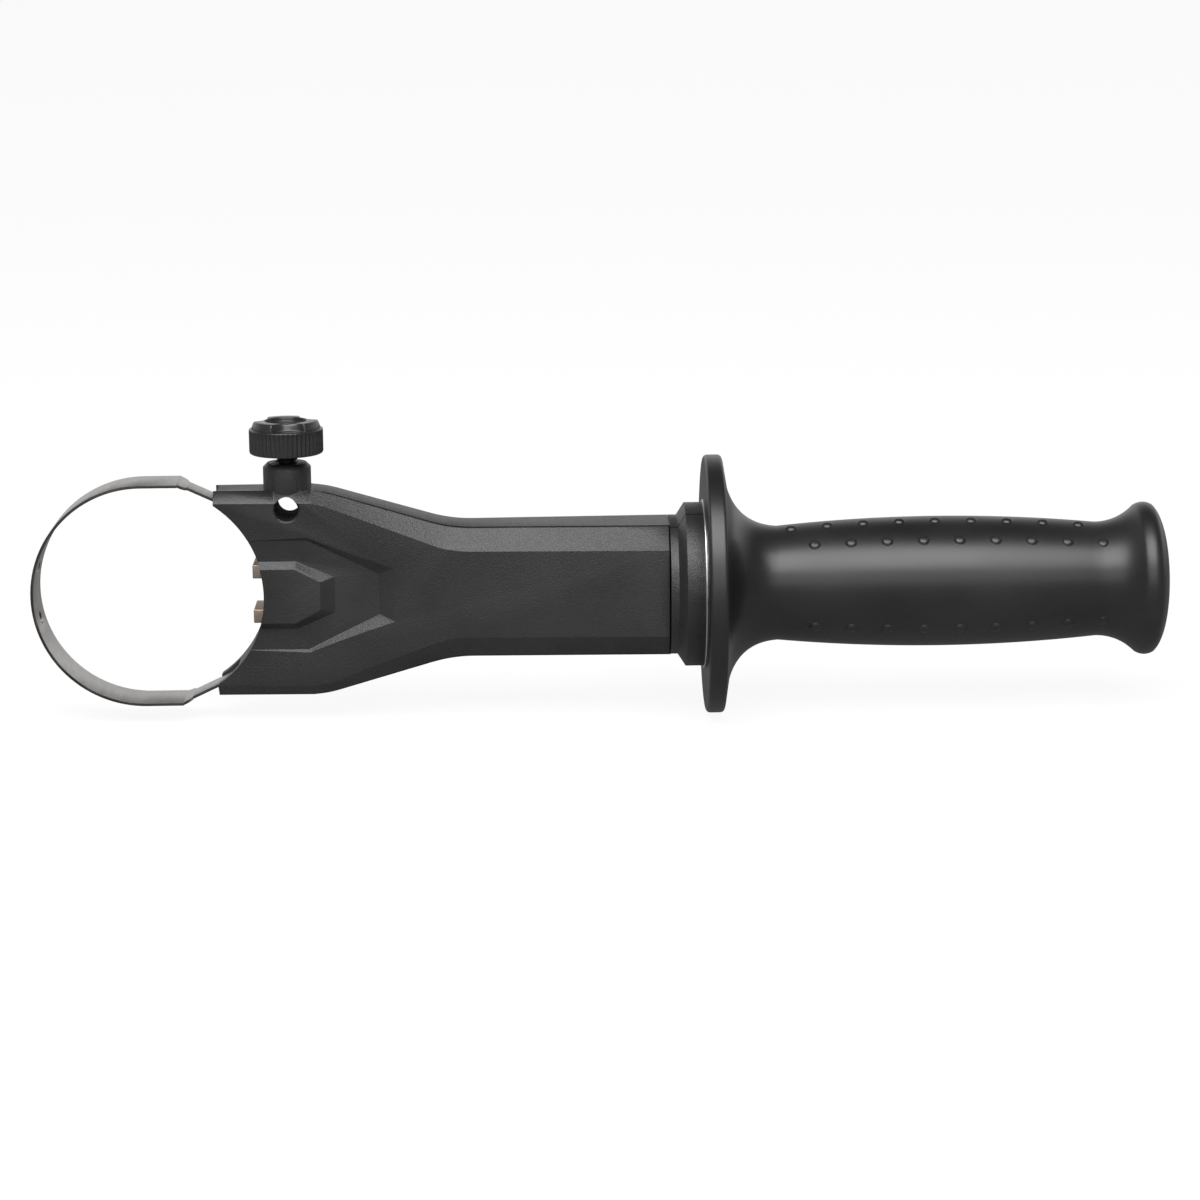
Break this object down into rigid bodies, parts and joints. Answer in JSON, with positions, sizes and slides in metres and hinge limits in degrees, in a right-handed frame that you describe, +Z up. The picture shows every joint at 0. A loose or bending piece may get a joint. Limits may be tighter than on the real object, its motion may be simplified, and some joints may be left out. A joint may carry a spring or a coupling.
{
  "type": "power tool side handle",
  "caption": "Side handle with a steel band clamp for a tool neck, a moulded torque arm with a thumb screw for a depth rod, and a flanged grip that tightens the band when turned.",
  "frame": {"origin": "centre of the clamp ring, half way along its width", "axes": "+X along the handle from the ring towards the grip, +Y along the clamp ring's axis away from the front cover, +Z up towards the thumb screw"},
  "size_m": [0.3165, 0.0722, 0.0843],
  "materials": {
    "arm_plastic": "fine sand-textured black glass-filled plastic",
    "grip_plastic": "soft semi-matte black plastic",
    "knob_plastic": "smooth satin black plastic",
    "band_steel": "satin rolled strip with darker cut edges",
    "washer_steel": "bright pressed washer",
    "plated_steel": "zinc plated",
    "sintered_steel": "grey-brown sintered steel",
    "black_steel": "black oxide",
    "insert_brass": "turned brass"
  },
  "bodies": {
    "arm": {"arm_body": "arm_plastic", "front_cover": "arm_plastic", "lock_insert": "sintered_steel", "collar_washer": "washer_steel", "boss_insert": "insert_brass", "cover_screw_1": "black_steel", "cover_screw_2": "black_steel", "cover_screw_3": "black_steel", "cover_screw_4": "black_steel"},
    "clamp": {"clamp_band": "band_steel", "band_anchor": "plated_steel", "anchor_pin_upper": "plated_steel", "anchor_pin_lower": "plated_steel", "draw_bolt": "plated_steel"},
    "grip": {"grip": "grip_plastic", "grip_nut": "plated_steel"},
    "thumb_stud": {"thumb_stud": "black_steel"},
    "thumb_knob": {"thumb_knob": "knob_plastic"}
  },
  "joints": [
    {"name": "grip_turn", "type": "hinge", "parent": "arm", "child": "grip", "pos_m": [0.2, 0, 0], "axis": [1, 0, 0], "range_deg": [-1440, 288]},
    {"name": "clamp_draw", "type": "slide", "parent": "arm", "child": "clamp", "axis": [1, 0, 0], "range_m": [-0.001, 0.005]},
    {"name": "knob_turn", "type": "hinge", "parent": "thumb_stud", "child": "thumb_knob", "pos_m": [0.0402, 0, 0.043], "axis": [0, 0, 1], "range_deg": [-865, 1801]},
    {"name": "stud_travel", "type": "slide", "parent": "arm", "child": "thumb_stud", "axis": [0, 0, 1], "range_m": [-0.0024, 0.005]}
  ],
  "couplings": [
    {"joint": "clamp_draw", "follows": "grip_turn", "m_per_rad": -0.00019894},
    {"joint": "knob_turn", "follows": "stud_travel", "rad_per_m": 6283.2}
  ]
}
